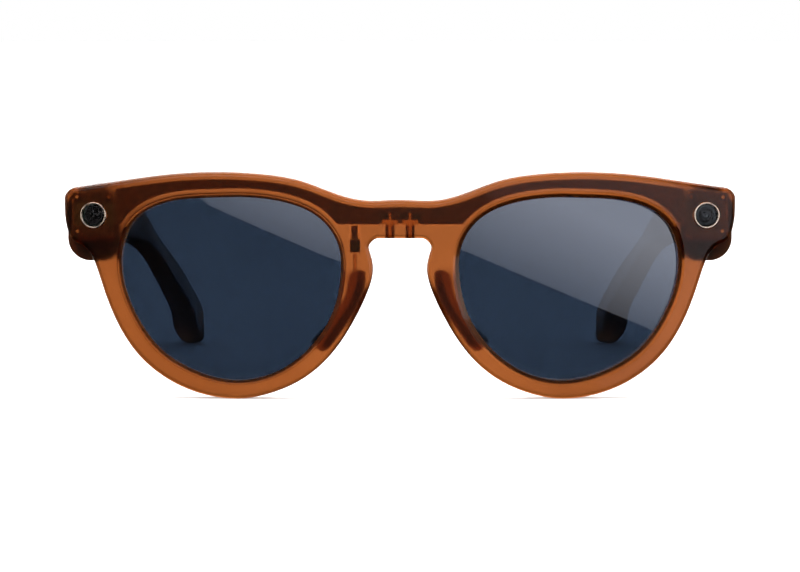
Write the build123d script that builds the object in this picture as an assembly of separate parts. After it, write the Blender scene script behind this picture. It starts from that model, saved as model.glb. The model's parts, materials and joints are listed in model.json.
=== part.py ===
from build123d import *
import math
import os

# Smart glasses, millimetres. +X is the wearer's left, the front faces -Y, +Z is up.
# The origin is on the table under the middle of the glasses.

# Driving dimensions -------------------------------------------------------
FRONT_Y = -75.0            # foremost point of the front, on the bridge
WRAP_R = 420.0             # plan radius of the front face
FRONT_T = 5.2              # thickness of the front
LENS_INSET = 1.0           # how far each lens reaches into its groove
LENS_R = 200.0             # spherical radius of the outer lens surface
LENS_T = 2.0
WALL = 1.6                 # front wall over the electronics
COVER_T = 1.2              # rear cover of the brow
BROW_INSET = 1.4           # brow cavity below the top edge
BROW_LENS_GAP = 1.65       # brow cavity above the lens opening
GAP = 0.05                 # assembly gap between pieces that fit together
MITRE_Y = -62.6            # rear face of the end pieces
HINGE_X = 62.4
HINGE_Y = -62.5
KNUCKLE_R = 1.5
PIN_R = 0.7
RING_X = 67.1              # centre of the camera and of the capture light
RING_Z = 39.95
RING_R = 2.88
RING_W = 0.38
PIN_PITCH = 4.4            # between the two charging contacts
CONTACT_R = 0.95
BUTTON_TRAVEL = 0.35
SWITCH_TRAVEL = 2.0

AXIS_Y = FRONT_Y + WRAP_R
REAR_R = WRAP_R - FRONT_T
INNER_R = WRAP_R - WALL
SIDES = {"left": 1, "right": -1}

# The outer outline of the front, one half, as (x, z) points and end directions.
OUTLINE = [
    ([(0, 43.6), (7.6, 43.45), (13, 44.6), (21.35, 47.65), (29.1, 49.05), (38.1, 49.55),
      (50.25, 49.0), (62.4, 47.3), (71.3, 45.95)], (1, 0), (1, -0.15)),
    ([(71.3, 45.95), (73.4, 43.7)], (1, -0.15), (0, -1)),
    ([(73.4, 43.7), (73.3, 39.4), (72.65, 36.2)], (0, -1), (-0.3, -1)),
    ([(72.65, 36.2), (70.6, 33.85)], (-0.3, -1), (-1, -0.3)),
    ([(70.6, 33.85), (68.75, 32.85), (67.1, 30.25), (65.3, 25.0), (61.8, 16.2), (57.15, 9.3),
      (50.9, 4.2), (43.7, 1.1), (35.7, 0)], (-1, -0.3), (-1, 0)),
    ([(35.7, 0), (27.8, 1.4), (21.25, 4.4), (14.65, 10.25), (10.1, 17.1), (7.0, 23.6),
      (5.85, 28.8), (6.75, 32.8)], (-1, 0), (0.3, 1)),
    ([(6.75, 32.8), (4.7, 35.2)], (0.3, 1), (-1, 0)),
    ([(4.7, 35.2), (0, 35.2)], (-1, 0), (-1, 0)),
]
# The visible lens opening on the wearer's left.
LENS_OPENING = [
    (37.1, 44.1), (46.7, 43.65), (53.8, 41.9), (58.55, 38.4), (60.8, 32.45), (60.5, 25.4),
    (57.75, 18.1), (52.5, 10.8), (45.0, 6.05), (35.7, 3.9), (27.1, 5.8), (20.05, 10.85),
    (15.05, 18.15), (13.0, 26.2), (13.45, 33.6), (17.25, 39.3), (24.35, 42.8), (30.6, 43.9),
]
LENS_CENTRE = (36.6, 24.0)
LENS_DEPTH = 1.0           # lens centre behind the front face


def on_plan_arc(radius, x):
    """y of a plan arc that shares the centre of the front face."""
    return AXIS_Y - math.sqrt(radius**2 - x**2)


def box(x0, x1, y0, y1, z0, z1):
    size = (abs(x1 - x0), abs(y1 - y0), abs(z1 - z0))
    return Pos((x0 + x1) / 2, (y0 + y1) / 2, (z0 + z1) / 2) * Box(*size)


def rod(radius, start, end):
    """Round rod between two points."""
    a, b = Vector(*start), Vector(*end)
    return extrude(Plane(a, z_dir=(b - a).normalized()) * Circle(radius), (b - a).length)


def mirrored(part, side):
    return part if side > 0 else mirror(part, Plane.YZ)


def through(face):
    """A face drawn in the XZ plane, as a block through the whole front."""
    return Pos(0, FRONT_Y + 25, 0) * extrude(Plane.XZ * face, 40)


def curved(block, outer, inner):
    """Cut a block to the space between two plan arcs."""
    height = 120
    keep = Pos(0, AXIS_Y, 25) * Cylinder(outer, height)
    drop = Pos(0, AXIS_Y, 25) * Cylinder(inner, height)
    return (block & keep) - drop


def curve(points, start, end, side):
    return Spline(
        *[(side * x, z) for x, z in points],
        tangents=[(side * start[0], start[1]), (side * end[0], end[1])],
        tangent_scalars=[1, 1],
    )


def outline():
    return make_face([curve(*piece, side) for side in (1, -1) for piece in OUTLINE])


def moved_out(edge, distance, count):
    """Points beside a curve in the XY plane, to the right of its direction."""
    points = []
    for i in range(count):
        u = i / (count - 1)
        along = edge % u
        points.append(edge @ u + Vector(along.Y, -along.X) * distance)
    return points


def lens_face(side, grow=0.0):
    rim = Spline(*LENS_OPENING, periodic=True)
    if grow:
        rim = Spline(*moved_out(rim, -grow, 37)[:-1], periodic=True)
    face = make_face([rim])
    return face if side > 0 else mirror(face, Plane.YZ)


def rectangle(x0, x1, z0, z1):
    return Pos((x0 + x1) / 2, (z0 + z1) / 2) * Rectangle(x1 - x0, z1 - z0)


def brow_region(inset=0.0):
    """Where the front is hollow: along the brow, in both end pieces and down to the microphone."""
    top = Spline(*moved_out(curve(*OUTLINE[0], 1), BROW_INSET + inset, 12))
    end, low = 70.9 - inset, CAVITY_FLOOR_Z + inset
    path = Polyline(top @ 1, (end, (top @ 1).Y - 0.3), (end, low), (0, low), top @ 0)
    half = make_face([top, *path.edges()]) - lens_face(1, BROW_LENS_GAP + inset)
    x0, x1, z0, z1 = END_CAVITY
    half += rectangle(x0 + inset, x1 - inset, z0 + inset, z1 - inset)
    half = half & rectangle(0, 80, 20, 60)
    whole = half + mirror(half, Plane.YZ)
    x0, x1, z0, z1 = MIC_CAVITY
    return whole + rectangle(x0 + inset, x1 - inset, z0 + inset, z1)


def lens_shell(block, side, front, back):
    """Cut a block to the space between two spheres about the lens's centre of curvature."""
    x, z = LENS_CENTRE
    y = on_plan_arc(WRAP_R, x) + LENS_DEPTH
    tilt = math.asin(x / WRAP_R)
    centre = (side * (x - LENS_R * math.sin(tilt)), y + LENS_R * math.cos(tilt), z)
    return (block & (Pos(*centre) * Sphere(LENS_R - front))) - Pos(*centre) * Sphere(LENS_R - back)


def ring_plane(side, depth=0.0):
    """Plane on the front face at the camera or the light, pointing out of it."""
    y = on_plan_arc(WRAP_R, RING_X)
    tilt = math.asin(RING_X / WRAP_R)
    normal = Vector(side * math.sin(tilt), -math.cos(tilt), 0)
    origin = Vector(side * RING_X, y, RING_Z) - normal * depth
    return Plane(origin, x_dir=(math.cos(tilt), side * math.sin(tilt), 0), z_dir=normal)


def disc(side, radius, top, bottom):
    """Round disc on the ring axis between two depths below the front face."""
    return extrude(ring_plane(side, bottom) * Circle(radius), bottom - top)


# Front ----------------------------------------------------------------------

CHARGER_Y = FRONT_Y + 2.85
CONTACT_X = (PIN_PITCH / 2, -PIN_PITCH / 2)
CONTACT_Z = (35.1, 38.1, 38.6, 40.6)   # tip, top of the stem, flange centre, top of the tail
CAVITY_FLOOR_Z = 37.9
END_CAVITY = (62.6, 71.8, 35.2, 44.9)  # x and z ranges
MIC_CAVITY = (-11.1, -8.5, 31.8, 38.5)
MIC_PORT = (-9.8, 0.4)                 # x and radius
STATUS_X = -57.0
STATUS_Z = 43.6
STATUS_R = 0.6
BOSS_R = 1.0
BOSS_HOLE_R = 0.4
BOSS_Y = -68.6
END_BLOCK_X = 64.4
COVER_Y = -65.3            # front side of the rear cover inside an end piece
BOSSES = ((70.7, 43.9), (63.7, 43.9), (70.6, 36.4))
BRACKET_Y = -66.6
NOSE_PAD_LINE = [(8.4, 27.6), (9.8, 22.8), (12.2, 18.2), (15.0, 14.2), (17.8, 11.0)]
NOSE_PAD_STEPS = [(4.2, 1.75, 0.0), (6.4, 1.75, 0.3), (8.6, 1.5, 0.7), (10.8, 0.85, 1.2)]


def on_radius(edge, radius):
    points = [edge @ u for u in (0, 0.3, 0.7, 1)]
    return all(abs(math.hypot(p.X, p.Y - AXIS_Y) - radius) < 1e-3 for p in points)


def nose_pad_section(side, depth, width, shift):
    """Crescent along the nasal rim; deeper sections are narrower and further from the nose."""
    ahead = [Vector(x + shift, z) for x, z in NOSE_PAD_LINE]
    edge = []
    for sign in (1, -1):
        row = []
        for i, point in enumerate(ahead):
            run = ahead[min(i + 1, len(ahead) - 1)] - ahead[max(i - 1, 0)]
            normal = Vector(run.Y, -run.X).normalized()
            taper = 0.6 if i in (0, len(ahead) - 1) else 1.0
            row.append(point + normal * sign * width * taper)
        edge += row[::sign]
    points = [(side * point.X, point.Y) for point in edge]
    return Pos(0, FRONT_Y + depth, 0) * (Plane.XZ * make_face([Spline(*points, periodic=True)]))


def nose_pad(side):
    """Pad moulded on the nasal rim, from below the bridge down to the lens bottom."""
    return loft([nose_pad_section(side, *step) for step in NOSE_PAD_STEPS])


def hinge_recess(side, start, end):
    return Pos(side * HINGE_X, HINGE_Y, (start + end) / 2) * Cylinder(KNUCKLE_R + 0.4, end - start)


def front_hull():
    """The outside of the front before it is hollowed."""
    blank = through(outline())
    body = curved(blank, WRAP_R, REAR_R)
    body = fillet([e for e in body.edges() if on_radius(e, WRAP_R)], 0.85)
    body = fillet([e for e in body.edges() if on_radius(e, REAR_R)], 0.6)
    for side in (1, -1):
        step = box(60.5, END_BLOCK_X, -68.5, -64.15, 33.4, 50)
        block = box(END_BLOCK_X, 74, -68.5, MITRE_Y, 33.4, 50)
        body += blank & mirrored(step + block, side)
    return body


def front_frame(hull):
    body = hull
    for side in (1, -1):
        body -= through(lens_face(side))
    rims = [e for e in body.edges() if on_radius(e, WRAP_R) and e.is_closed]
    body = chamfer(rims, 0.85, 1.35)
    for side in (1, -1):
        body += nose_pad(side)
        body -= lens_shell(through(lens_face(side, LENS_INSET + GAP)), side, -GAP, LENS_T + GAP)
        body -= disc(side, RING_R + GAP, -1, 3.0)
    body -= curved(through(brow_region()), INNER_R, 380)
    for side in (1, -1):
        for x, z in BOSSES:
            body += rod(BOSS_R, (side * x, BOSS_Y, z), (side * x, BRACKET_Y - GAP, z))
            body -= rod(BOSS_HOLE_R, (side * x, BOSS_Y + 0.7, z), (side * x, BRACKET_Y, z))
        body -= front_leaf_pocket(side)
    for x in CONTACT_X:
        body -= rod(CONTACT_R + GAP, (x, CHARGER_Y, 34), (x, CHARGER_Y, CONTACT_Z[2]))
    x, radius = MIC_PORT
    body -= rod(radius, (x, FRONT_Y + 3.0, 28), (x, FRONT_Y + 3.0, MIC_CAVITY[2] + 0.2))
    return body


def brow_cover(hull):
    region = through(brow_region(GAP))
    cover = curved(region, REAR_R + COVER_T, 380)
    for side in (1, -1):
        cover -= mirrored(box(61.2, 74, -70, COVER_Y, 30, 50), side)
    cover &= hull
    for side in (1, -1):
        cover -= front_leaf_pocket(side)
        cover -= hinge_recess(side, 33, 43)
        for z in FRONT_SCREW_Z:
            x = side * FRONT_SCREW_X
            cover -= rod(SCREW_HOLE_R + 0.05, (x, FRONT_LEAF_Y[0] - 0.7, z), (x, MITRE_Y, z))
    cover -= rod(STATUS_R + GAP, (STATUS_X, -75, STATUS_Z), (STATUS_X, -60, STATUS_Z))
    return cover


def lens(side):
    return lens_shell(through(lens_face(side, LENS_INSET)), side, 0, LENS_T)


def trim_ring(side):
    return disc(side, RING_R, -0.12, 1.1) - disc(side, RING_R - RING_W, -0.2, 1.2)


def ring_window(side):
    return disc(side, RING_R - RING_W - GAP, 0.1, 0.8)


def camera_module():
    """Sensor block with the lens barrel that reaches up to the cover glass."""
    block = box(RING_X - 2.7, RING_X + 2.5, -67.5, BRACKET_Y - GAP, 37.2, 42.7)
    barrel = disc(1, 2.1, 0.95, 2.6)
    iris = disc(1, 1.0, 0.8, 1.35)
    return block + barrel - iris


def light_board():
    board = box(-71.3, -62.9, BRACKET_Y - 0.65, BRACKET_Y - GAP, 37.6, 42.6)
    led = disc(-1, 1.1, 0.95, 2.9)
    return board + led


def bracket(side):
    plate = box(62.8, 71.6, BRACKET_Y, BRACKET_Y + 0.6, 35.4, 44.7)
    for x, z in BOSSES:
        plate -= rod(0.5, (x, -70, z), (x, -60, z))
    return mirrored(plate, side)


def bracket_screws():
    screws = []
    for side in (1, -1):
        for x, z in BOSSES:
            base = (side * x, BRACKET_Y + 0.65, z)
            head = rod(0.8, base, (side * x, BRACKET_Y + 1.05, z))
            screws.append(head + rod(BOSS_HOLE_R - 0.05, base, (side * x, BOSS_Y + 0.9, z)))
    return Compound(children=screws)


def contact_clearance():
    return box(-PIN_PITCH, PIN_PITCH, -76, -60, CONTACT_Z[0], CONTACT_Z[3] + 0.15)


def brow_carrier():
    middle = brow_region(0.2) & rectangle(-62.1, 62.1, 38.2, 60)
    return curved(through(middle), INNER_R - 0.1, INNER_R - 1.1) - contact_clearance()


def brow_flex():
    middle = brow_region(0.45) & rectangle(-61.8, 61.8, 38.2, 60)
    return curved(through(middle), INNER_R - 1.15, INNER_R - 1.4) - contact_clearance()


def nose_mic_flex():
    strip = through(rectangle(-10.6, -9.2, 35.0, 37.9))
    return curved(strip, INNER_R - 0.1, INNER_R - 0.4)


def nose_microphone():
    body = through(rectangle(-10.9, -8.7, 32.1, 34.9))
    return curved(body, INNER_R - 0.1, INNER_R - 1.2)


def charging_contacts():
    """Two spring contacts, flush with the underside of the bridge."""
    pins = []
    for x in CONTACT_X:
        tip, shoulder, middle, end = ((x, CHARGER_Y, z) for z in CONTACT_Z)
        stem = rod(CONTACT_R, tip, shoulder)
        flange = Pos(*middle) * Box(3.4, 1.0, 2 * (CONTACT_Z[2] - CONTACT_Z[1]))
        tail = rod(0.4, middle, end)
        pins.append(stem + flange + tail)
    return Compound(children=pins)


def status_light_pipe():
    y = on_plan_arc(REAR_R, abs(STATUS_X))
    return rod(STATUS_R, (STATUS_X, y - 1.7, STATUS_Z), (STATUS_X, y, STATUS_Z))


# Hinges -----------------------------------------------------------------------

FRONT_KNUCKLES = ((34.2, 36.4), (40.2, 42.4))
TEMPLE_KNUCKLE = (36.5, 40.1)
FRONT_SCREW_Z = (36.0, 40.6)
SCREW_R = 0.45
SCREW_HOLE_R = 0.5
HINGE_Z = (34.2, 42.4)
FRONT_LEAF_X = HINGE_X + KNUCKLE_R + 0.35
FRONT_LEAF_END = 70.6
FRONT_LEAF_Y = (-63.9, MITRE_Y - 0.05)
FRONT_SCREW_X = 69.2
LEAF_X = (61.6, 62.7)
LEAF_Y = (-60.2, -51.0)
LEAF_Z = (34.4, 42.2)
TEMPLE_SCREW_Y = (-58.0, -53.4)
TEMPLE_SCREW_Z = 38.3
TEMPLE_SCREW_END = LEAF_X[1] + 2.5
PIN_CLEARANCE = 0.04


def front_leaf(side):
    leaf = box(FRONT_LEAF_X, FRONT_LEAF_END, *FRONT_LEAF_Y, *HINGE_Z)
    for z0, z1 in FRONT_KNUCKLES:
        leaf += Pos(HINGE_X, HINGE_Y, (z0 + z1) / 2) * Cylinder(KNUCKLE_R, z1 - z0)
        leaf += box(HINGE_X, FRONT_LEAF_X + 0.5, *FRONT_LEAF_Y, z0, z1)
    return mirrored(leaf, side)


def front_leaf_pocket(side):
    """Space that the front leaf and its knuckle arms need in the end piece."""
    x = (HINGE_X - KNUCKLE_R - 0.65, FRONT_LEAF_END + GAP)
    y = (FRONT_LEAF_Y[0] - GAP, MITRE_Y + 1)
    return mirrored(box(*x, *y, HINGE_Z[0] - GAP, HINGE_Z[1] + GAP), side)


def pin_bore(clearance):
    return rod(PIN_R + clearance, (HINGE_X, HINGE_Y, 30), (HINGE_X, HINGE_Y, 46))


def hinge_plate(side):
    plate = front_leaf(side) - mirrored(pin_bore(0.0), side)
    for z in FRONT_SCREW_Z:
        x = side * FRONT_SCREW_X
        plate -= rod(SCREW_HOLE_R, (x, -66, z), (x, -60, z))
    return plate


def front_hinge_screws():
    screws = []
    for side in (1, -1):
        for z in FRONT_SCREW_Z:
            x = side * FRONT_SCREW_X
            tip, shoulder = FRONT_LEAF_Y[0] - 0.6, FRONT_LEAF_Y[0] + 0.6
            shank = rod(SCREW_R, (x, tip, z), (x, shoulder, z))
            head = rod(SCREW_R + 0.04, (x, shoulder - 0.05, z), (x, FRONT_LEAF_Y[1] - 0.02, z))
            screws.append(shank + head)
    return Compound(children=screws)


def hinge_pin(side):
    """Pin with a slotted head on top of the upper knuckle."""
    top = HINGE_Z[1]
    shaft = rod(PIN_R, (HINGE_X, HINGE_Y, HINGE_Z[0]), (HINGE_X, HINGE_Y, top))
    head = rod(PIN_R + 0.45, (HINGE_X, HINGE_Y, top), (HINGE_X, HINGE_Y, top + 0.5))
    slot = box(HINGE_X - 2, HINGE_X + 2, HINGE_Y - 0.15, HINGE_Y + 0.15, top + 0.25, top + 1)
    return mirrored(shaft + head - slot, side)


def hinge_leaf(side):
    """Temple half of the hinge: one knuckle and a leaf under the temple cover."""
    z0, z1 = TEMPLE_KNUCKLE
    leaf = Pos(HINGE_X, HINGE_Y, (z0 + z1) / 2) * Cylinder(KNUCKLE_R, z1 - z0)
    leaf += box(*LEAF_X, HINGE_Y, LEAF_Y[0] + 0.5, z0, z1)
    leaf += box(*LEAF_X, *LEAF_Y, *LEAF_Z)
    leaf -= pin_bore(PIN_CLEARANCE)
    for y in TEMPLE_SCREW_Y:
        leaf -= rod(SCREW_HOLE_R, (60, y, TEMPLE_SCREW_Z), (66, y, TEMPLE_SCREW_Z))
    return mirrored(leaf, side)


def leaf_screws(side):
    screws = []
    for y in TEMPLE_SCREW_Y:
        base = (LEAF_X[0], y, TEMPLE_SCREW_Z)
        shank = rod(SCREW_R, base, (TEMPLE_SCREW_END, y, TEMPLE_SCREW_Z))
        head = rod(SCREW_R + 0.5, (LEAF_X[0] - 0.3, y, TEMPLE_SCREW_Z), base)
        screws.append(mirrored(shank + head, side))
    return Compound(children=screws)


# Temples ------------------------------------------------------------------------

# Along a temple, from the mitre to the centre of the round ear tip:
# centre y, x, z, then thickness, height and twist in degrees.
STATIONS = [
    (-62.4, 67.3, 37.7, 11.8, 16.2, 0),
    (-35.0, 67.7, 37.0, 10.7, 15.3, 0),
    (-5.0, 68.0, 36.1, 8.7, 14.0, 1),
    (13.0, 67.7, 35.5, 6.9, 12.6, 3),
    (23.0, 66.5, 34.2, 5.6, 11.4, 9),
    (33.6, 63.0, 30.2, 4.8, 9.6, 24),
    (42.0, 60.1, 24.2, 4.9, 9.3, 27),
    (48.8, 57.8, 19.5, 5.3, 9.6, 23),
    (56.6, 55.5, 14.1, 5.9, 10.2, 17),
    (69.3, 52.9, 5.34, 6.6, 10.6, 6),
]
OUTER_CORNER = 0.42        # corner radii as shares of the thickness
INNER_CORNER = 0.3
STATION_COUNT = 16
POCKET = (-49.5, 8.0, 31.8, 40.6)      # y from, y to, z from, z to
TEMPLE_WALL = 1.9
TEMPLE_COVER_T = 1.3


def between(table, at):
    """Straight-line reading of a small table of (place, value) pairs."""
    for (a0, v0), (a1, v1) in zip(table, table[1:]):
        if at <= a1:
            return v0 + (v1 - v0) * (at - a0) / (a1 - a0)
    return table[-1][1]


def inner_x(y):
    """Inner face of the temple, ahead of the ear bend."""
    return between([(station[0], station[1] - station[3] / 2) for station in STATIONS], y)


def outer_x(y):
    return between([(station[0], station[1] + station[3] / 2) for station in STATIONS], y)


def temple_section(thick, high):
    corner = min(thick, high)
    section = Rectangle(thick, high)
    section = fillet([v for v in section.vertices() if v.X > 0], corner * OUTER_CORNER)
    return fillet([v for v in section.vertices() if v.X < -thick / 2 + 0.01], corner * INNER_CORNER)


def temple_blank():
    """Full outside of the left temple: a loft through even stations and a round ear tip."""
    centres = [Vector(x, y, z) for y, x, z, *_ in STATIONS]
    line = Spline(*centres, tangents=[(0, 1, 0), (-0.2, 0.8, -0.57)], tangent_scalars=[1, 1])
    sections = []
    for i in range(STATION_COUNT):
        u = i / (STATION_COUNT - 1)
        y = (line @ u).Y
        thick, high, twist = (between([(s[0], s[k]) for s in STATIONS], y) for k in (3, 4, 5))
        along = line % u
        up = Vector(0, -along.Z, along.Y).normalized()
        plane = Plane(line @ u, x_dir=along.cross(up), z_dir=along).rotated((0, 0, -twist))
        sections.append(plane * temple_section(thick, high))
    tip = []
    for angle in (0, 8, 20, 35, 50, 65, 80):
        shrink = math.cos(math.radians(angle))
        station = plane.offset(high / 2 * math.sin(math.radians(angle)))
        tip.append(station * temple_section(thick * shrink**0.6, high * shrink))
    return loft(sections) + loft(tip)


def pocket():
    y0, y1, z0, z1 = POCKET
    floor = [(outer_x(y) - TEMPLE_WALL, y) for y in (y0, -35, y1)]
    plan = make_face(Polyline(*floor, (58.0, y1), (58.0, y0), close=True))
    return Pos(0, 0, z0) * extrude(plan, z1 - z0)


def temple_cover(blank):
    y0, y1, z0, z1 = POCKET
    y0, y1 = y0 + GAP, y1 - GAP
    depth = TEMPLE_COVER_T
    mid = -35.0
    plan = [(58, y0), (inner_x(y0) + depth, y0), (inner_x(mid) + depth, mid),
            (inner_x(y1) + depth, y1), (58, y1)]
    slab = extrude(make_face(Polyline(*plan, close=True)), z1 - z0 - 2 * GAP)
    return blank & (Pos(0, 0, z0 + GAP) * slab)


def temple_shell(blank):
    shell = blank - pocket()
    shell -= box(50, HINGE_X + 2.1, -70, HINGE_Y + 2.1, 20, 50)
    shell -= hinge_recess(1, 20, 50)
    leaf_z = (LEAF_Z[0] - GAP, LEAF_Z[1] + GAP)
    shell -= box(55, LEAF_X[1] + GAP, -63, LEAF_Y[1] + GAP, *leaf_z)
    for y in TEMPLE_SCREW_Y:
        start, end = (LEAF_X[1], y, TEMPLE_SCREW_Z), (TEMPLE_SCREW_END + 0.1, y, TEMPLE_SCREW_Z)
        shell -= rod(SCREW_HOLE_R, start, end)
    shell -= box(*SPEAKER_SLOT, 20, 33)
    return shell


# Plain blocks in the temples, drawn on the left: x, y and z from and to.
SPEAKER_SLOT = (66.4, 69.4, -8.0, 4.0)
MESH_Z = (30.4, 30.9)
BOTH_TEMPLES = {
    "speaker": (66.3, 69.4, -9.0, 5.0, 32.5, 40.2),
    "temple_mic": (66.5, 69.0, -49.0, -46.0, 31.9, 33.0),
}
LEFT_TEMPLE = {
    "battery": (66.2, 70.1, -34.0, -11.5, 32.4, 40.3),
    "battery_board": (69.0, 69.8, -44.0, -34.6, 33.4, 40.0),
}
RIGHT_TEMPLE = {
    "main_board": (69.1, 69.9, -45.0, -11.0, 32.6, 40.2),
    "processor_shield": (66.9, 69.05, -36.0, -18.0, 33.2, 39.8),
    "touch_sensor": (69.95, 70.2, -44.0, -12.0, 33.0, 40.0),
}


def speaker_mesh():
    x0, x1, y0, y1 = SPEAKER_SLOT
    return box(x0 + GAP, x1 - GAP, y0 + GAP, y1 - GAP, *MESH_Z)


BUTTON = (66.9, -43.5)     # x and y of the centre
BUTTON_TOP = 45.75
BUTTON_SIZE = (10.0, 3.0)  # length and width
BUTTON_FLANGE = 0.5
SWITCH_Y = -42.0
SWITCH_Z = 36.4
SWITCH_KNOB = (2.0, 0.8)   # half length and half height


def button_slot(grow):
    length, width = (size + 2 * grow for size in BUTTON_SIZE)
    return RectangleRounded(width, length, width / 2 - 0.01)


def capture_button():
    foot = POCKET[3] - 0.05 - BUTTON_FLANGE
    cap = Pos(*BUTTON, foot) * extrude(button_slot(0), BUTTON_TOP - foot)
    return cap + Pos(*BUTTON, foot) * extrude(button_slot(0.4), BUTTON_FLANGE)


def tact_switch():
    x, y = BUTTON
    top = POCKET[3] - 0.05 - BUTTON_FLANGE - BUTTON_TRAVEL - 0.1
    return box(x - 1.6, x + 1.6, y - 1.8, y + 1.8, top - 2, top)


def power_switch():
    """Slider of the power switch in the left temple cover, at its forward stop."""
    x = inner_x(SWITCH_Y)
    long, high = SWITCH_KNOB
    y, z = SWITCH_Y, SWITCH_Z
    knob = box(x - 0.5, x + 1.7, y - long, y + long, z - high, z + high)
    return knob + box(x + 1.65, x + 2.1, y - long - 0.8, y + long + 0.8, z - high * 2, z + high * 2)


def switch_slot():
    x = inner_x(SWITCH_Y)
    long, high = (size + 0.15 for size in SWITCH_KNOB)
    y, z = SWITCH_Y, SWITCH_Z
    return box(x - 3, x + 3, y - long, y + long + SWITCH_TRAVEL, z - high, z + high)


def slide_switch():
    """Fixed contact block behind the slider."""
    x = inner_x(SWITCH_Y) + 2.2
    return box(x, x + 2.0, SWITCH_Y - 3.5, SWITCH_Y + 5.5, SWITCH_Z - 2, SWITCH_Z + 2)


def temples():
    blank = temple_blank()
    shell = temple_shell(blank)
    cover = temple_cover(blank)
    button_hole = Pos(*BUTTON, 40) * extrude(button_slot(0.15), 8)
    parts = {
        "temple_shell_left": shell,
        "temple_cover_left": cover - switch_slot(),
        "temple_shell_right": mirrored(shell - button_hole, -1),
        "temple_cover_right": mirrored(cover, -1),
    }
    for name, side in SIDES.items():
        for kind, size in BOTH_TEMPLES.items():
            parts[f"{kind}_{name}"] = mirrored(box(*size), side)
        parts[f"speaker_mesh_{name}"] = mirrored(speaker_mesh(), side)
        parts[f"hinge_leaf_{name}"] = hinge_leaf(side)
        parts[f"leaf_screws_{name}"] = leaf_screws(side)
    for kind, size in LEFT_TEMPLE.items():
        parts[kind] = box(*size)
    for kind, size in RIGHT_TEMPLE.items():
        parts[kind] = mirrored(box(*size), -1)
    for make in (slide_switch, power_switch):
        parts[make.__name__] = make()
    for make in (tact_switch, capture_button):
        parts[make.__name__] = mirrored(make(), -1)
    return parts


def front():
    hull = front_hull()
    parts = {"front_frame": front_frame(hull), "brow_cover": brow_cover(hull)}
    for make in (camera_module, light_board, bracket_screws, brow_carrier, brow_flex, nose_mic_flex,
                 nose_microphone, charging_contacts, status_light_pipe, front_hinge_screws):
        parts[make.__name__] = make()
    parts["camera_trim_ring"] = trim_ring(1)
    parts["camera_cover_glass"] = ring_window(1)
    parts["camera_bracket"] = bracket(1)
    parts["light_trim_ring"] = trim_ring(-1)
    parts["light_window"] = ring_window(-1)
    parts["light_bracket"] = bracket(-1)
    for name, side in SIDES.items():
        parts[f"lens_{name}"] = lens(side)
        parts[f"hinge_plate_{name}"] = hinge_plate(side)
        parts[f"hinge_pin_{name}"] = hinge_pin(side)
    return parts


os.makedirs("parts", exist_ok=True)
for node, shape in {**front(), **temples()}.items():
    export_step(shape, f"parts/{node}.step")
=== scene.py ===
import json
import math
import random

import bmesh
import bpy
from mathutils import Matrix, Vector


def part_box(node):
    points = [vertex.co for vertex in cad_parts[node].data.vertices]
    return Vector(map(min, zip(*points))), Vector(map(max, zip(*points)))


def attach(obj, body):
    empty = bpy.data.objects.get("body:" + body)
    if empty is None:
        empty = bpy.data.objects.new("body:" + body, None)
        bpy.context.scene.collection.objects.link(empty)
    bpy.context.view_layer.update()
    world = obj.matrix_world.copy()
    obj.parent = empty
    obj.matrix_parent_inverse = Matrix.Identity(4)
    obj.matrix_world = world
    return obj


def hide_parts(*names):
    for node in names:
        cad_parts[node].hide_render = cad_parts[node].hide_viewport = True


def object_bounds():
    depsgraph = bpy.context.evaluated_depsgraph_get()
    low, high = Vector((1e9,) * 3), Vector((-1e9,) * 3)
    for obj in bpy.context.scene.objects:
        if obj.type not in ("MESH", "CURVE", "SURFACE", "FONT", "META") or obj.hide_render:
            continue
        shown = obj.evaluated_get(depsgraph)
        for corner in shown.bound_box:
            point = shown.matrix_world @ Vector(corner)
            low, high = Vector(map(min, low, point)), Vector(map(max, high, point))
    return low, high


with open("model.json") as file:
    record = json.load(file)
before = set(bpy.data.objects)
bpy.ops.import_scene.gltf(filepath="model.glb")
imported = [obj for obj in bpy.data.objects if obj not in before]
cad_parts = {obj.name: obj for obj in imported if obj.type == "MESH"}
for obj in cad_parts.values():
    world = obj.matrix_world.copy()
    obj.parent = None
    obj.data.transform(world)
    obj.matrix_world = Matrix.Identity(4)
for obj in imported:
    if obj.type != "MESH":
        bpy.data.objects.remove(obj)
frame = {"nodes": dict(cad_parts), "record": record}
cad_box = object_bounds()

# Smart glasses in metres. The front faces -Y, +X is the wearer's left, +Z is up.
MM = 0.001
SIDES = {"left": 1, "right": -1}
WHITE = (1, 1, 1, 1)


# Materials --------------------------------------------------------------------


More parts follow.
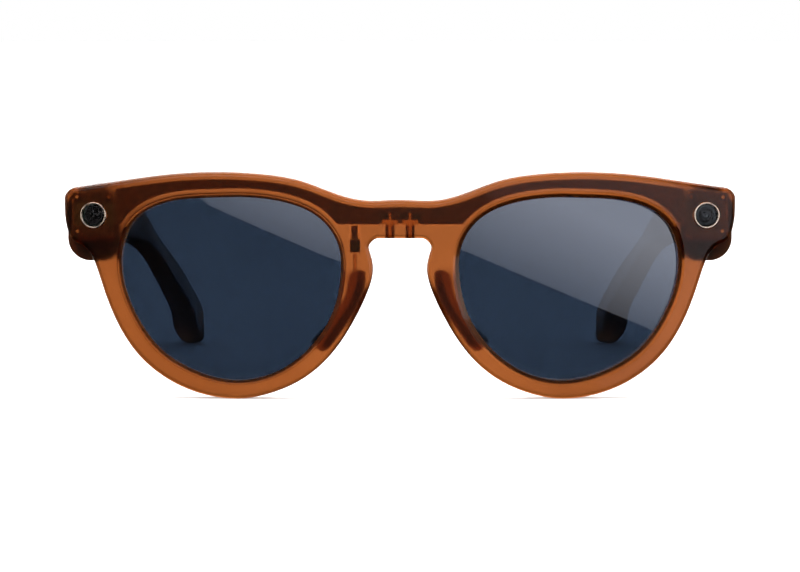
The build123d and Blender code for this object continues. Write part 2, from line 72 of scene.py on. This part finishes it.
class Shader:
    """A node tree around one Principled shader, with small helpers to wire it."""

    def __init__(self, name, **values):
        self.material = bpy.data.materials.new(name)
        self.material.use_nodes = True
        self.tree = self.material.node_tree
        self.shader = self.tree.nodes["Principled BSDF"]
        for socket, value in values.items():
            self.shader.inputs[socket.replace("_", " ")].default_value = value

    def node(self, kind, **settings):
        made = self.tree.nodes.new(kind)
        for key, value in settings.items():
            if key in made.inputs:
                made.inputs[key].default_value = value
            else:
                setattr(made, key, value)
        return made

    def link(self, source, target):
        self.tree.links.new(source, target)

    def noise(self, scale, detail=4.0, stretch=(1, 1, 1)):
        """Noise in object space, finer in the directions that are stretched."""
        place = self.node("ShaderNodeTexCoord")
        mapping = self.node("ShaderNodeMapping")
        mapping.inputs["Scale"].default_value = stretch
        self.link(place.outputs["Object"], mapping.inputs["Vector"])
        noise = self.node("ShaderNodeTexNoise", Scale=scale, Detail=detail)
        self.link(mapping.outputs["Vector"], noise.inputs["Vector"])
        return noise.outputs["Fac"]

    def ramp(self, source, low, high, start=0.35, end=0.65):
        """Colour or grey from low to high as source goes from start to end."""
        ramp = self.node("ShaderNodeValToRGB")
        for element, place, value in zip(ramp.color_ramp.elements, (start, end), (low, high)):
            element.position = place
            element.color = (*value, 1) if isinstance(value, tuple) else (value, value, value, 1)
        self.link(source, ramp.inputs["Fac"])
        return ramp.outputs["Color"]

    def colour(self, source, low, high, **places):
        self.link(self.ramp(source, low, high, **places), self.shader.inputs["Base Color"])

    def roughness(self, source, low, high, **places):
        self.link(self.ramp(source, low, high, **places), self.shader.inputs["Roughness"])

    def bump(self, source, distance, strength=1.0):
        bump = self.node("ShaderNodeBump", Distance=distance, Strength=strength)
        self.link(source, bump.inputs["Height"])
        self.link(bump.outputs["Normal"], self.shader.inputs["Normal"])


FRAME_ABSORPTION = (0.60, 0.355, 0.08)
FRONT_DENSITY, TEMPLE_DENSITY = 640.0, 330.0
WARM_GLOSS = (1.0, 0.70, 0.48, 1)


def caramel(name, density):
    """Polished translucent nylon: clear gloss outside, colour by depth inside."""
    s = Shader(name, Roughness=0.34, IOR=1.31, Transmission_Weight=1.0,
               Coat_Weight=0.25, Coat_Roughness=0.03, Coat_IOR=1.5,
               Specular_Tint=WARM_GLOSS)
    s.colour(s.noise(70, 3), (0.72, 0.43, 0.23), (0.78, 0.48, 0.27))
    s.bump(s.noise(260, 2), 0.00002, 0.35)
    volume = s.node("ShaderNodeVolumeAbsorption", Density=density)
    volume.inputs["Color"].default_value = (*FRAME_ABSORPTION, 1)
    output = s.tree.nodes["Material Output"]
    s.link(volume.outputs["Volume"], output.inputs["Volume"])
    return s.material


def tinted_lens():
    s = Shader("tinted_lens", Roughness=0.0, IOR=1.75, Transmission_Weight=1.0)
    s.colour(s.noise(30, 2), (0.0095, 0.0155, 0.0275), (0.0105, 0.017, 0.0295))
    return s.material


def black_glass():
    s = Shader("black_glass", Roughness=0.03, IOR=1.2, Transmission_Weight=1.0)
    s.colour(s.noise(200, 2), (0.45, 0.47, 0.50), (0.50, 0.52, 0.55))
    return s.material


def coated_element():
    """Camera lens element with a faint green and violet coating."""
    s = Shader("coated_element", Roughness=0.02, IOR=1.6, Coat_Weight=1.0, Coat_Roughness=0.01)
    s.colour(s.noise(500, 1), (0.006, 0.010, 0.012), (0.012, 0.008, 0.016))
    return s.material


def metal(name, low, high, rough, grain, stretch=(1, 1, 1)):
    """Metal whose colour and roughness vary along a grain."""
    s = Shader(name, Metallic=1.0)
    fibres = s.noise(grain, 5, stretch)
    s.colour(fibres, low, high)
    s.roughness(fibres, rough, rough * 1.7)
    s.bump(fibres, 0.000001, 0.03)
    return s.material


def plastic(name, low, high, rough, grain=900, bump=0.00002, specular=0.5):
    """Moulded plastic with a fine eroded texture."""
    s = Shader(name, IOR=1.48, Specular_IOR_Level=specular)
    texture = s.noise(grain, 4)
    s.colour(s.noise(120, 3), low, high)
    s.roughness(texture, rough, rough * 1.4)
    s.bump(texture, bump, 0.5)
    return s.material


def circuit_board(name, low, high):
    """Solder mask over faint copper tracks."""
    s = Shader(name, IOR=1.5, Coat_Weight=0.5, Coat_Roughness=0.15)
    place = s.node("ShaderNodeTexCoord")
    cells = s.node("ShaderNodeTexVoronoi", Scale=900.0, distance="MANHATTAN", feature="DISTANCE_TO_EDGE")
    s.link(place.outputs["Object"], cells.inputs["Vector"])
    s.colour(cells.outputs["Distance"], high, low, start=0.04, end=0.10)
    s.roughness(s.noise(400), 0.35, 0.5)
    s.bump(cells.outputs["Distance"], 0.00002, 0.5)
    return s.material


def battery_foil():
    """Soft pouch foil with a faint crinkle."""
    s = Shader("battery_foil", Metallic=0.9)
    crinkle = s.noise(160, 6)
    s.colour(crinkle, (0.52, 0.53, 0.55), (0.66, 0.67, 0.69))
    s.roughness(crinkle, 0.28, 0.45)
    s.bump(crinkle, 0.0002, 0.5)
    return s.material


MATERIALS = {
    "frame_plastic": caramel("caramel_front", FRONT_DENSITY),
    "lens_tint": tinted_lens(),
    "ring_metal": metal("champagne_ring", (0.62, 0.50, 0.38), (0.72, 0.58, 0.45), 0.18, 1500),
    "black_glass": black_glass(),
    "steel": metal("satin_steel", (0.50, 0.50, 0.51), (0.62, 0.62, 0.63), 0.25, 600, (1, 1, 6)),
    "contact_gold": metal("gold_plate", (0.78, 0.55, 0.22), (0.86, 0.64, 0.30), 0.16, 900),
    "flex": plastic("amber_flex", (0.09, 0.035, 0.012), (0.14, 0.055, 0.02), 0.35, 500),
    "circuit_board": circuit_board("solder_mask", (0.010, 0.040, 0.022), (0.03, 0.09, 0.045)),
    "shield_metal": metal("stamped_shield", (0.58, 0.58, 0.60), (0.68, 0.68, 0.70), 0.3, 700),
    "battery_foil": battery_foil(),
    "clear_plastic": plastic("clear_pipe", (0.75, 0.75, 0.75), (0.85, 0.85, 0.85), 0.2),
    "black_plastic": plastic("black_plastic", (0.016, 0.011, 0.009), (0.024, 0.017, 0.014), 0.5,
                             specular=0.1),
    "black_steel": plastic("black_steel", (0.07, 0.032, 0.012), (0.09, 0.042, 0.016), 0.4, 600,
                           specular=0.2),
}
ELEMENT = coated_element()
TEMPLE_NYLON = caramel("caramel_temple", TEMPLE_DENSITY)
CARRIER = plastic("brown_carrier", (0.09, 0.038, 0.012), (0.12, 0.05, 0.017), 0.5, specular=0.1)
BARREL = plastic("barrel_black", (0.05, 0.055, 0.055), (0.07, 0.075, 0.075), 0.3, 1500)

# Nodes whose look differs from the rest of their slot.
OWN_MATERIALS = {
    "brow_carrier": CARRIER,
    "temple_shell_left": TEMPLE_NYLON,
    "temple_shell_right": TEMPLE_NYLON,
}


def smooth(mesh, angle):
    """Round faces shade smooth, and edges sharper than the angle stay crisp."""
    mesh.polygons.foreach_set("use_smooth", [True] * len(mesh.polygons))
    mesh.set_sharp_from_angle(angle=math.radians(angle))


slots = {part["node"]: part["material_slot"] for part in frame["record"]["subparts"]}
for name, node in frame["nodes"].items():
    node.data.materials.clear()
    node.data.materials.append(OWN_MATERIALS.get(name, MATERIALS[slots[name]]))


# Studio -----------------------------------------------------------------------

FRONT_Y = cad_box[0].y
CAMERA_AT = Vector((0, FRONT_Y, 24.85 * MM))
CAMERA_OFFSET = Vector((0, -900, 64.85)) * MM
WIDTH_SEEN = 174.178 * MM
FILM_WIDTH = 36.0
LIGHTS_AT = Vector((0, 0, 30)) * MM
# Name, place, width and height in metres, and power in watts.
LIGHTS = (
    ("top_softbox", (0, 0.1, 0.9), (1.2, 0.9), 14),
    ("left_strip", (-0.9, -0.35, 0.25), (0.25, 0.8), 2),
    ("right_strip", (0.9, -0.35, 0.25), (0.25, 0.8), 2),
    ("back_softbox", (0.3, 1.1, 0.5), (0.9, 0.6), 5),
)
FLOOR_R = 6.0
FLOOR_GLOW = 0.3

# Front softbox, seen only in the slanted reflection on the lenses and the right of the front.
SOFTBOX_DISTANCE = 2.2
SOFTBOX_AT = Vector((0, FRONT_Y, 24 * MM))
SOFTBOX_EDGE = ((-17.0, 8.5), (27.5, -13.4))   # azimuth and elevation of two points on its lower edge
SOFTBOX_ENDS = (-35.0, 42.0)                   # azimuths of its ends
SOFTBOX_TALL = 25.0                            # degrees
SOFTBOX_FADE = 0.5                             # metres over which it brightens
SOFTBOX_LOW, SOFTBOX_HIGH = 0.75, 2.5
SOFTBOX_COLOUR = (0.93, 0.97, 1.12, 1)

BACKDROP_R = 2.5
BACKDROP_Z = (-0.6, 1.6)
BACKDROP_SPREAD = 105.0                        # degrees to each side
BACKDROP_GLOW = 1.8


def add_object(name, data):
    made = bpy.data.objects.new(name, data)
    bpy.context.scene.collection.objects.link(made)
    return made


def mesh_object(name, made, material):
    """Turn a finished bmesh into an object with one material."""
    mesh = bpy.data.meshes.new(name)
    made.to_mesh(mesh)
    made.free()
    mesh.materials.append(material)
    return add_object(name, mesh)


def aim(thing, place, target):
    thing.location = place
    thing.rotation_mode = "QUATERNION"
    thing.rotation_quaternion = (Vector(target) - Vector(place)).to_track_quat("-Z", "Y")


def camera():
    data = bpy.data.cameras.new("camera")
    made = add_object("camera", data)
    aim(made, CAMERA_AT + CAMERA_OFFSET, CAMERA_AT)
    data.sensor_width = FILM_WIDTH
    data.lens = FILM_WIDTH * CAMERA_OFFSET.length / WIDTH_SEEN
    data.clip_start, data.clip_end = 0.05, 30
    bpy.context.scene.camera = made


def area_light(name, place, size, power):
    data = bpy.data.lights.new(name, "AREA")
    data.shape = "RECTANGLE"
    data.size, data.size_y = size
    data.energy = power
    made = add_object(name, data)
    aim(made, place, LIGHTS_AT)
    made.visible_camera = False


def studio():
    """White surroundings that light the glasses but don't show in their gloss, and soft lights."""
    world = bpy.data.worlds.new("studio")
    bpy.context.scene.world = world
    world.use_nodes = True
    world.node_tree.nodes["Background"].inputs["Color"].default_value = WHITE
    world.node_tree.nodes["Background"].inputs["Strength"].default_value = 1.0
    world.cycles_visibility.glossy = False
    bpy.context.scene.view_settings.view_transform = "Standard"
    for light in LIGHTS:
        area_light(*light)


def floor():
    made = bmesh.new()
    bmesh.ops.create_circle(made, cap_ends=True, segments=96, radius=FLOOR_R)
    s = Shader("floor_paper", Roughness=0.9, Emission_Strength=FLOOR_GLOW, Emission_Color=WHITE)
    s.colour(s.noise(40), (0.80, 0.80, 0.80), (0.82, 0.82, 0.82))
    ground = mesh_object("floor", made, s.material)
    ground.visible_glossy = False


def only_in_gloss(thing):
    """Hide a stage object from every ray but the glossy ones."""
    thing.visible_camera = thing.visible_diffuse = False
    thing.visible_transmission = thing.visible_shadow = False


def softbox_point(azimuth, elevation):
    a, e = math.radians(azimuth), math.radians(elevation)
    return Vector((math.tan(a), -1, math.tan(e))) * SOFTBOX_DISTANCE + SOFTBOX_AT


def softbox_cloth(slope, level):
    """Glow that brightens with height above the line z = slope * x + level."""
    material = bpy.data.materials.new("softbox_cloth")
    material.use_nodes = True
    tree = material.node_tree
    tree.nodes.clear()
    place = tree.nodes.new("ShaderNodeTexCoord")
    split = tree.nodes.new("ShaderNodeSeparateXYZ")
    fall = tree.nodes.new("ShaderNodeMath")
    fall.operation = "MULTIPLY_ADD"
    fall.inputs[1].default_value = -slope
    fall.inputs[2].default_value = -level
    height = tree.nodes.new("ShaderNodeMath")
    height.operation = "ADD"
    strength = tree.nodes.new("ShaderNodeMapRange")
    strength.inputs["From Min"].default_value = 0.0
    strength.inputs["From Max"].default_value = SOFTBOX_FADE
    strength.inputs["To Min"].default_value = SOFTBOX_LOW
    strength.inputs["To Max"].default_value = SOFTBOX_HIGH
    glow = tree.nodes.new("ShaderNodeEmission")
    glow.inputs["Color"].default_value = SOFTBOX_COLOUR
    output = tree.nodes.new("ShaderNodeOutputMaterial")
    tree.links.new(place.outputs["Object"], split.inputs["Vector"])
    tree.links.new(split.outputs["X"], fall.inputs[0])
    tree.links.new(fall.outputs["Value"], height.inputs[0])
    tree.links.new(split.outputs["Z"], height.inputs[1])
    tree.links.new(height.outputs["Value"], strength.inputs["Value"])
    tree.links.new(strength.outputs["Result"], glow.inputs["Strength"])
    tree.links.new(glow.outputs["Emission"], output.inputs["Surface"])
    return material


def front_softbox():
    (a0, e0), (a1, e1) = SOFTBOX_EDGE
    rise = (e1 - e0) / (a1 - a0)
    lower = [softbox_point(a, e0 + rise * (a - a0)) for a in SOFTBOX_ENDS]
    upper = [softbox_point(a, e0 + rise * (a - a0) + SOFTBOX_TALL) for a in SOFTBOX_ENDS]
    slope = (lower[1].z - lower[0].z) / (lower[1].x - lower[0].x)
    made = bmesh.new()
    made.faces.new([made.verts.new(p) for p in (*lower, *reversed(upper))])
    cloth = softbox_cloth(slope, lower[0].z - slope * lower[0].x)
    box = mesh_object("front_softbox", made, cloth)
    only_in_gloss(box)


def backdrop():
    """White half cylinder behind and beside the glasses, which edges and rear faces reflect."""
    made = bmesh.new()
    steps = 24
    rows = []
    for z in BACKDROP_Z:
        row = []
        for i in range(steps + 1):
            angle = math.radians(BACKDROP_SPREAD * (2 * i / steps - 1))
            place = (BACKDROP_R * math.sin(angle), BACKDROP_R * math.cos(angle), z)
            row.append(made.verts.new(place))
        rows.append(row)
    for i in range(steps):
        made.faces.new((rows[0][i], rows[0][i + 1], rows[1][i + 1], rows[1][i]))
    s = Shader("backdrop_paper", Roughness=1.0, Emission_Strength=BACKDROP_GLOW, Emission_Color=WHITE)
    s.colour(s.noise(40), (0.1, 0.1, 0.1), (0.12, 0.12, 0.12))
    wall = mesh_object("backdrop", made, s.material)
    only_in_gloss(wall)


# Pieces -----------------------------------------------------------------------


def piece(name, made, material, body, angle=35):
    """Turn a finished bmesh into a piece that rides on a body."""
    bmesh.ops.recalc_face_normals(made, faces=made.faces)
    thing = mesh_object(name, made, material)
    smooth(thing.data, angle)
    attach(thing, body)
    return thing


def stack(made, rings):
    """Skin a stack of rings and close both ends."""
    for a, b in zip(rings, rings[1:]):
        for i in range(len(a)):
            j = (i + 1) % len(a)
            made.faces.new((a[i], a[j], b[j], b[i]))
    made.faces.new(rings[0])
    made.faces.new(rings[-1])


def rounded_block(made, low, high, corner):
    """Add a block with rounded edges between two corners."""
    low, high = Vector(low), Vector(high)
    size = Matrix.Diagonal((*(high - low), 1))
    new = bmesh.ops.create_cube(made, size=1, matrix=Matrix.Translation((low + high) / 2) @ size)
    edges = list({e for v in new["verts"] for e in v.link_edges})
    bmesh.ops.bevel(made, geom=edges, offset=corner, segments=3, profile=0.5, affect="EDGES")


# Camera and capture light: radii and heights in mm, with heights from the front of the trim ring's node.
WRAP_R = 420 * MM                              # radius of the front's curve, seen from above
RING_DEPTH = 1.22 * MM
RING_OUT, RING_IN, RING_ROUND = 2.88, 2.5, 0.16
RING_BACK, RING_FRONT = -1.1, -0.05            # the rim is round above RING_FRONT
GLASS_OUT, GLASS_ROUND = RING_IN - 0.06, 0.1
GLASS_BACK, GLASS_FRONT = -0.8, -0.1
GLASS_EDGE = -0.22                             # height of the centre of its rounded edge
BARREL_OUT, BARREL_BACK, BARREL_FLOOR = 2.2, -2.4, -1.5
BARREL_LEDGES = ((1.95, -0.9), (1.7, -1.0), (1.45, -1.1), (1.2, -1.2), (0.85, -1.3))  # inner radius, height
LEDGE_SLOPE = 0.05
ELEMENT_R, ELEMENT_BACK = 0.78, -1.48
DOME_R, DOME_CENTRE, DOME_START = 0.94, -2.0, 34
OPTIC_R, OPTIC_OUT, OPTIC_BACK, OPTIC_FRONT = 2.0, 2.1, -1.9, -0.9
OPTIC_STEPS, OPTIC_PITCH = 6, 0.3


def ring_frame(side):
    """Axes at a front ring: local z points out of the front face, from the middle of the ring's node."""
    low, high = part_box("camera_trim_ring" if side > 0 else "light_trim_ring")
    middle = (low + high) / 2
    tilt = math.asin(abs(middle.x) / WRAP_R)
    outward = Vector((side * math.sin(tilt), -math.cos(tilt), 0))
    across = Vector((math.cos(tilt), side * math.sin(tilt), 0))
    up = outward.cross(across)
    axes = Matrix((across, up, outward)).transposed().to_4x4()
    return Matrix.Translation(middle + outward * RING_DEPTH / 2) @ axes


def lathe(profile, place, steps=96):
    """Closed (radius, height) profile in mm turned about local z."""
    made = bmesh.new()
    rings = []
    for radius, height in profile:
        if radius < 1e-6:
            rings.append([made.verts.new(place @ Vector((0, 0, height * MM)))])
            continue
        ring = []
        for i in range(steps):
            angle = math.tau * i / steps
            spot = Vector((radius * math.cos(angle), radius * math.sin(angle), height))
            ring.append(made.verts.new(place @ (spot * MM)))
        rings.append(ring)
    for a, b in zip(rings, rings[1:] + rings[:1]):
        for i in range(steps):
            j = (i + 1) % steps
            corners = [a[i % len(a)], a[j % len(a)], b[j % len(b)], b[i % len(b)]]
            unique = list(dict.fromkeys(corners))
            if len(unique) > 2:
                made.faces.new(unique)
    return made


def arc(centre, radius, start, end, steps):
    """Profile points on an arc, angles in degrees."""
    angles = [math.radians(start + (end - start) * i / steps) for i in range(steps + 1)]
    return [(centre[0] + radius * math.cos(a), centre[1] + radius * math.sin(a)) for a in angles]


def front_ring(side, name, node):
    """Trim ring with a rounded rim that stands a little proud of the front."""
    profile = [(RING_IN, RING_BACK), (RING_OUT, RING_BACK)]
    profile += arc((RING_OUT - RING_ROUND, RING_FRONT), RING_ROUND, 0, 90, 6)
    profile += arc((RING_IN + RING_ROUND, RING_FRONT), RING_ROUND, 90, 180, 6)
    ring = piece(name, lathe(profile, ring_frame(side)), MATERIALS["ring_metal"], "front")
    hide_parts(node)


def cover_glass(side, name, node):
    """Cover glass with a small rounded edge."""
    edge = arc((GLASS_OUT - GLASS_ROUND, GLASS_EDGE), GLASS_ROUND, 0, 90, 5)
    profile = [(0, GLASS_BACK), (GLASS_OUT, GLASS_BACK), *edge, (0, GLASS_FRONT)]
    made = lathe(profile, ring_frame(side))
    glass = piece(name, made, MATERIALS["black_glass"], "front")
    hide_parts(node)


def stepped_barrel():
    """Camera barrel: stepped black rings round a domed front element."""
    place = ring_frame(1)
    profile = [(0, BARREL_BACK), (BARREL_OUT, BARREL_BACK)]
    outer = BARREL_OUT
    for inner, height in BARREL_LEDGES:
        profile += [(outer, height), (inner, height)]
        outer = inner - LEDGE_SLOPE
    profile += [(outer, BARREL_FLOOR), (0, BARREL_FLOOR)]
    piece("camera_barrel", lathe(profile, place), BARREL, "front", 20)
    dome = arc((0, DOME_CENTRE), DOME_R, DOME_START, 90, 8)
    dome[-1] = (0, dome[-1][1])
    profile = [(0, ELEMENT_BACK), (ELEMENT_R, ELEMENT_BACK), *dome]
    piece("camera_front_element", lathe(profile, place), ELEMENT, "front")


def light_optic():
    """Stepped lens over the capture light."""
    place = ring_frame(-1)
    profile = [(0, OPTIC_BACK), (OPTIC_OUT, OPTIC_BACK), (OPTIC_OUT, OPTIC_FRONT)]
    for step in range(OPTIC_STEPS):
        radius = OPTIC_R - OPTIC_PITCH * step
        profile += [(radius, OPTIC_FRONT), (radius - 0.22, OPTIC_FRONT - 0.15)]
        profile += [(radius - 0.25, OPTIC_FRONT - 0.08)]
    profile += [(0, OPTIC_FRONT - 0.05)]
    made = lathe(profile, place)
    piece("light_optic", made, MATERIALS["black_plastic"], "front", 20)


def bridge_film():
    """Dark film behind the charging contacts."""
    low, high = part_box("charging_contacts")
    beside, below, above = 1.6 * MM, 2.45 * MM, 1.3 * MM
    gap, thick = 0.25 * MM, 0.2 * MM
    start = (low.x - beside, high.y + gap, high.z - below)
    end = (high.x + beside, high.y + gap + thick, high.z + above)
    made = bmesh.new()
    rounded_block(made, start, end, 0.45 * thick)
    piece("bridge_film", made, CARRIER, "front")


# Electronics and temples -------------------------------------------------------

CHIP_MARGIN = 1.2 * MM
CHIP_THICK = 0.5 * MM
EMPTY_SHARE = 0.25


def board_parts(name, node, body, side, rows, seed):
    """Chips and small passives soldered on a board, on the face towards the head."""
    low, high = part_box(node)
    face = low.x if side > 0 else high.x
    draw = random.Random(seed)
    made = bmesh.new()
    for row in range(rows):
        y = low.y + (row + 0.5) * (high.y - low.y) / rows
        for z in (low.z + CHIP_MARGIN, (low.z + high.z) / 2, high.z - CHIP_MARGIN):
            if draw.random() < EMPTY_SHARE:
                continue
            half = (draw.uniform(0.3, 0.8) * MM, draw.uniform(0.25, 0.8) * MM)
            centre = Vector((face - side * CHIP_THICK / 2, y, z))
            size = Matrix.Diagonal((CHIP_THICK, 2 * half[0], 2 * half[1], 1))
            bmesh.ops.create_cube(made, size=1, matrix=Matrix.Translation(centre) @ size)
    bmesh.ops.bevel(made, geom=made.edges, offset=0.06 * MM, segments=2, profile=0.5, affect="EDGES")
    piece(name, made, MATERIALS["black_plastic"], body)


HOLE_SIDES = 8
HOLE_R = 0.19 * MM
HOLES_ACROSS, HOLES_ALONG = 5, 20


def hole_cell(made, corners, centre, z):
    """One square of the grille with a round hole; gives the hole's ring of points."""
    outer = []
    for k in range(HOLE_SIDES):
        a, b = Vector((*corners[k // 2], z)), Vector((*corners[(k // 2 + 1) % 4], z))
        outer.append(made.verts.new(a if k % 2 == 0 else (a + b) / 2))
    ring = []
    for point in outer:
        ring.append(made.verts.new(centre + (point.co - centre).normalized() * HOLE_R))
    for k in range(HOLE_SIDES):
        n = (k + 1) % HOLE_SIDES
        made.faces.new((outer[k], outer[n], ring[n], ring[k]))
    return ring


def hole_plate(made, low, high, z):
    """One face of the grille; gives the rings of all its holes."""
    step_x, step_y = (high.x - low.x) / HOLES_ACROSS, (high.y - low.y) / HOLES_ALONG
    rings = []
    for i in range(HOLES_ACROSS):
        for j in range(HOLES_ALONG):
            x0, y0 = low.x + i * step_x, low.y + j * step_y
            x1, y1 = x0 + step_x, y0 + step_y
            centre = Vector((x0 + step_x / 2, y0 + step_y / 2, z))
            rings.append(hole_cell(made, [(x0, y0), (x1, y0), (x1, y1), (x0, y1)], centre, z))
    return rings


def grille(side_name):
    """Speaker cover with a grid of round holes."""
    node = f"speaker_mesh_{side_name}"
    low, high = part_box(node)
    made = bmesh.new()
    top, bottom = [hole_plate(made, low, high, z) for z in (high.z, low.z)]
    for upper, lower in zip(top, bottom):
        for k in range(HOLE_SIDES):
            n = (k + 1) % HOLE_SIDES
            made.faces.new((upper[k], upper[n], lower[n], lower[k]))
    bmesh.ops.remove_doubles(made, verts=made.verts, dist=1e-7)
    rim = [e for e in made.edges if e.is_boundary]
    bmesh.ops.bridge_loops(made, edges=rim)
    cover = piece(f"speaker_grille_{side_name}", made, MATERIALS["black_steel"],
                  f"temple_{side_name}")
    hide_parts(node)


def stadium(made, centre, length, width, z, steps=12):
    """Ring of points round a slot shape that runs along Y."""
    ring = []
    for end in (1, -1):
        for i in range(steps + 1):
            angle = math.pi * i / steps
            x = end * math.cos(angle) * width / 2
            y = end * ((length - width) / 2 + math.sin(angle) * width / 2)
            ring.append(made.verts.new((centre.x + x, centre.y + y, z)))
    return ring


def crowned_button():
    """Capture button with a rolled edge and a shallow thumb dish, on its hidden flange."""
    low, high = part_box("capture_button")
    long, wide = high.y - low.y, high.x - low.x
    flange = low.z + 0.5 * MM
    lip, roll = 0.8 * MM, 0.45 * MM
    levels = [(0, low.z), (0, flange), (lip, flange), (lip, high.z - roll)]
    for inset, height in arc((0, 0), 1, 20, 90, 5):
        levels.append((lip + roll * (1 - inset), high.z - roll * (1 - height)))
    levels += [(lip + 0.75 * MM, high.z - 0.05 * MM), (lip + 1.1 * MM, high.z - 0.09 * MM)]
    made = bmesh.new()
    stack(made, [stadium(made, (low + high) / 2, long - inset, wide - inset, z) for inset, z in levels])
    nylon = MATERIALS["frame_plastic"]
    cap = piece("capture_button_cap", made, nylon, "capture_button")
    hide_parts("capture_button")


def ridged_switch():
    """Power switch with grip ridges on the face towards the head."""
    low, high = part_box("power_switch")
    foot, inset = 0.45 * MM, 0.8 * MM
    ridge, ridge_end, ridges = 0.16 * MM, 0.15 * MM, 5
    front, back = low.y + inset, high.y - inset
    under, over = low.z + inset, high.z - inset
    made = bmesh.new()
    rounded_block(made, (high.x - foot, low.y, low.z), high, 0.1 * MM)
    rounded_block(made, (low.x + ridge, front, under), (high.x - foot / 2, back, over), 0.1 * MM)
    for i in range(ridges):
        y = front + (back - front) * (i + 1) / (ridges + 1)
        start = (low.x, y - ridge, under + ridge_end)
        end = (low.x + 2 * ridge, y + ridge, over - ridge_end)
        rounded_block(made, start, end, 0.05 * MM)
    black = MATERIALS["black_plastic"]
    knob = piece("power_switch_knob", made, black, "power_switch")
    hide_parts("power_switch")


SCREW_HEAD = 0.3 * MM
SCREW_SHANK = 0.47                             # share of the head's radius
SCREW_EDGE = 0.35                              # share of the head's height below the dome
CROSS_ARM, CROSS_REACH, CROSS_DEPTH = 0.17, 0.8, 0.45


def cross_screw(made, centre, toward, radius, length):
    """Round screw along X with a domed head and a cross recess; toward is the way the head faces."""
    steps = 48
    levels = [(SCREW_SHANK, -length), (SCREW_SHANK, 0.0), (1.0, 0.0), (1.0, SCREW_EDGE)]
    for angle in (20, 40, 60, 75, 84):
        a = math.radians(angle)
        levels.append((math.cos(a), SCREW_EDGE + (1 - SCREW_EDGE) * math.sin(a)))
    rings = []
    for share, level in levels:
        ring = []
        for i in range(steps):
            angle = math.tau * i / steps
            y, z = share * math.cos(angle), share * math.sin(angle)
            lift = level * (SCREW_HEAD if level > 0 else 1)
            on_dome = share < CROSS_REACH and level > SCREW_EDGE
            if on_dome and min(abs(y), abs(z)) < CROSS_ARM:
                lift -= CROSS_DEPTH * SCREW_HEAD
            spot = (centre.x + toward * lift, centre.y + y * radius, centre.z + z * radius)
            ring.append(made.verts.new(spot))
        rings.append(ring)
    stack(made, rings)


def leaf_screws(name, side):
    """Two cross-head screws that hold a temple's hinge leaf."""
    node = f"leaf_screws_{name}"
    low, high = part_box(node)
    inner, outer = (low.x, high.x) if side > 0 else (high.x, low.x)
    radius = (high.z - low.z) / 2
    made = bmesh.new()
    for y in (low.y + radius, high.y - radius):
        base = Vector((inner + side * SCREW_HEAD, y, (low.z + high.z) / 2))
        cross_screw(made, base, -side, radius, abs(outer - base.x))
    screws = piece(f"hinge_screws_{name}", made, MATERIALS["steel"], f"temple_{name}", 30)
    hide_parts(node)


camera()
studio()
floor()
front_softbox()
backdrop()
for side, kind, window in ((1, "camera", "camera_cover_glass"), (-1, "light", "light_window")):
    front_ring(side, f"{kind}_ring", f"{kind}_trim_ring")
    cover_glass(side, f"{kind}_glass", window)
stepped_barrel()
light_optic()
bridge_film()
board_parts("main_board_chips", "main_board", "temple_right", -1, 3, 4)
board_parts("battery_board_chips", "battery_board", "temple_left", 1, 5, 5)
crowned_button()
ridged_switch()
for name, side in SIDES.items():
    grille(name)
    leaf_screws(name, side)
